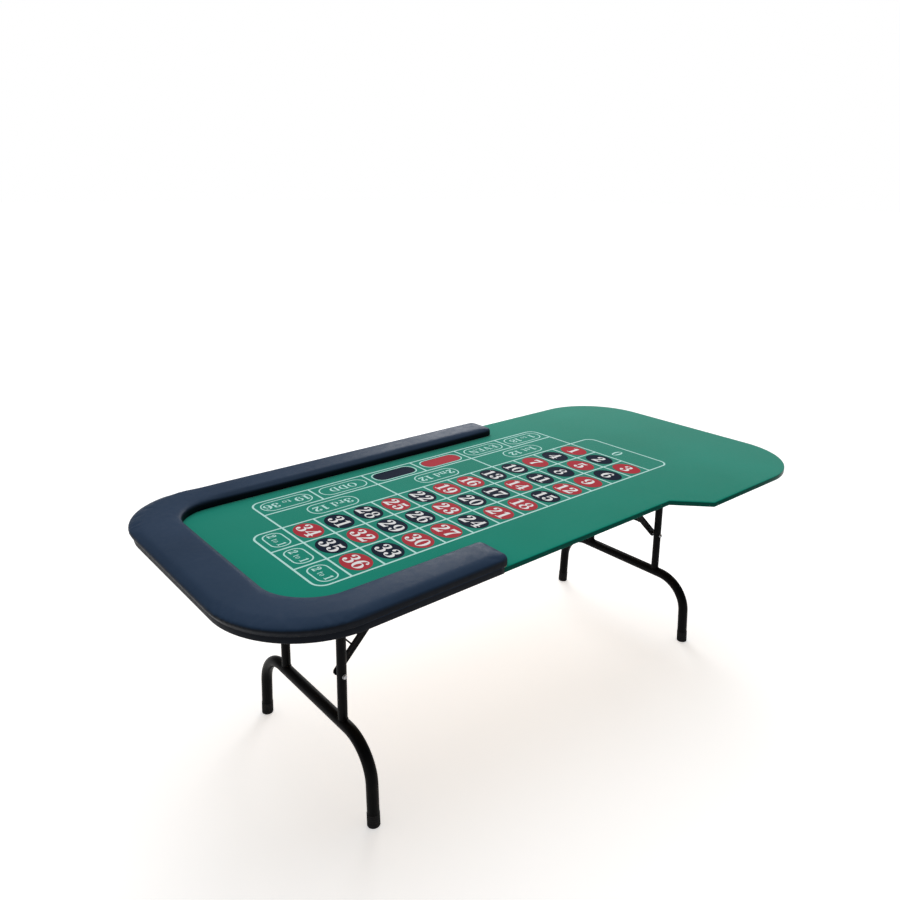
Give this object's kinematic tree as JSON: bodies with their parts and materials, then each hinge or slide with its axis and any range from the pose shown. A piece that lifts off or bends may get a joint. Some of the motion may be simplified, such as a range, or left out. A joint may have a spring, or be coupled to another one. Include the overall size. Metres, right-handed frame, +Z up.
{
  "type": "folding roulette table",
  "caption": "Folding gaming table with a printed felt layout, padded armrest round one end and folding tube legs with stays.",
  "frame": {"origin": "on the floor under the middle of the overall box, all four feet on the floor", "axes": "+X towards the wide wheel end, +Y away from the side with the notch, +Z up"},
  "size_m": [2.134, 1.06, 0.774],
  "materials": {
    "plywood": "matte",
    "foam": "matte",
    "layout_cloth": "matte",
    "core_wood": "matte",
    "armrest_vinyl": "satin",
    "foot_rubber": "matte",
    "zinc_steel": "satin",
    "bracket_steel": "satin",
    "black_steel": "satin"
  },
  "bodies": {
    "table_top": {"top_board": "plywood", "foam_underlay": "foam", "layout_cloth": "layout_cloth", "armrest_core": "core_wood", "armrest_foam": "foam", "armrest_cover": "armrest_vinyl", "armrest_screws": "zinc_steel", "left_front_leg_bracket": "bracket_steel", "left_rear_leg_bracket": "bracket_steel", "left_leg_bracket_screws": "zinc_steel", "left_front_stay_bracket": "bracket_steel", "left_rear_stay_bracket": "bracket_steel", "left_stay_bracket_screws": "zinc_steel", "left_stay_bracket_rivets": "zinc_steel", "right_front_leg_bracket": "bracket_steel", "right_rear_leg_bracket": "bracket_steel", "right_leg_bracket_screws": "zinc_steel", "right_front_stay_bracket": "bracket_steel", "right_rear_stay_bracket": "bracket_steel", "right_stay_bracket_screws": "zinc_steel", "right_stay_bracket_rivets": "zinc_steel"},
    "left_leg": {"left_foot_tube": "black_steel", "left_front_upright": "black_steel", "left_rear_upright": "black_steel", "left_hinge_tube": "black_steel", "left_front_foot_cap": "foot_rubber", "left_rear_foot_cap": "foot_rubber", "left_stay_bolts": "zinc_steel"},
    "left_lower_stay": {"left_front_lower_stay": "black_steel", "left_rear_lower_stay": "black_steel", "left_stay_cross_tube": "black_steel", "left_stay_tie_rod": "black_steel", "left_knee_rivets": "zinc_steel"},
    "left_upper_stay": {"left_front_upper_stay": "black_steel", "left_rear_upper_stay": "black_steel", "left_knee_studs": "zinc_steel"},
    "right_leg": {"right_foot_tube": "black_steel", "right_front_upright": "black_steel", "right_rear_upright": "black_steel", "right_hinge_tube": "black_steel", "right_front_foot_cap": "foot_rubber", "right_rear_foot_cap": "foot_rubber", "right_stay_bolts": "zinc_steel"},
    "right_lower_stay": {"right_front_lower_stay": "black_steel", "right_rear_lower_stay": "black_steel", "right_stay_cross_tube": "black_steel", "right_stay_tie_rod": "black_steel", "right_knee_rivets": "zinc_steel"},
    "right_upper_stay": {"right_front_upper_stay": "black_steel", "right_rear_upper_stay": "black_steel", "right_knee_studs": "zinc_steel"}
  },
  "joints": [
    {"name": "left_leg_fold", "type": "hinge", "parent": "table_top", "child": "left_leg", "pos_m": [-0.685, 0.04875, 0.689], "axis": [0, -1, 0], "range_deg": [0, 90]},
    {"name": "left_lower_stay_turn", "type": "hinge", "parent": "left_leg", "child": "left_lower_stay", "pos_m": [-0.685, 0.04875, 0.388], "axis": [0, -1, 0], "range_deg": [0, 39.26]},
    {"name": "left_upper_stay_turn", "type": "hinge", "parent": "table_top", "child": "left_upper_stay", "pos_m": [-0.301, 0.04875, 0.709], "axis": [0, -1, 0], "range_deg": [-36.51, 0]},
    {"name": "right_leg_fold", "type": "hinge", "parent": "table_top", "child": "right_leg", "pos_m": [0.751, 0.04875, 0.689], "axis": [0, 1, 0], "range_deg": [0, 90]},
    {"name": "right_lower_stay_turn", "type": "hinge", "parent": "right_leg", "child": "right_lower_stay", "pos_m": [0.751, 0.04875, 0.388], "axis": [0, 1, 0], "range_deg": [0, 39.26]},
    {"name": "right_upper_stay_turn", "type": "hinge", "parent": "table_top", "child": "right_upper_stay", "pos_m": [0.367, 0.04875, 0.709], "axis": [0, 1, 0], "range_deg": [-36.51, 0]}
  ],
  "couplings": [
    {"joint": "left_lower_stay_turn", "follows": "left_leg_fold", "ratio": 0.43561},
    {"joint": "left_upper_stay_turn", "follows": "left_leg_fold", "ratio": -0.4051},
    {"joint": "right_lower_stay_turn", "follows": "right_leg_fold", "ratio": 0.43561},
    {"joint": "right_upper_stay_turn", "follows": "right_leg_fold", "ratio": -0.4051}
  ]
}
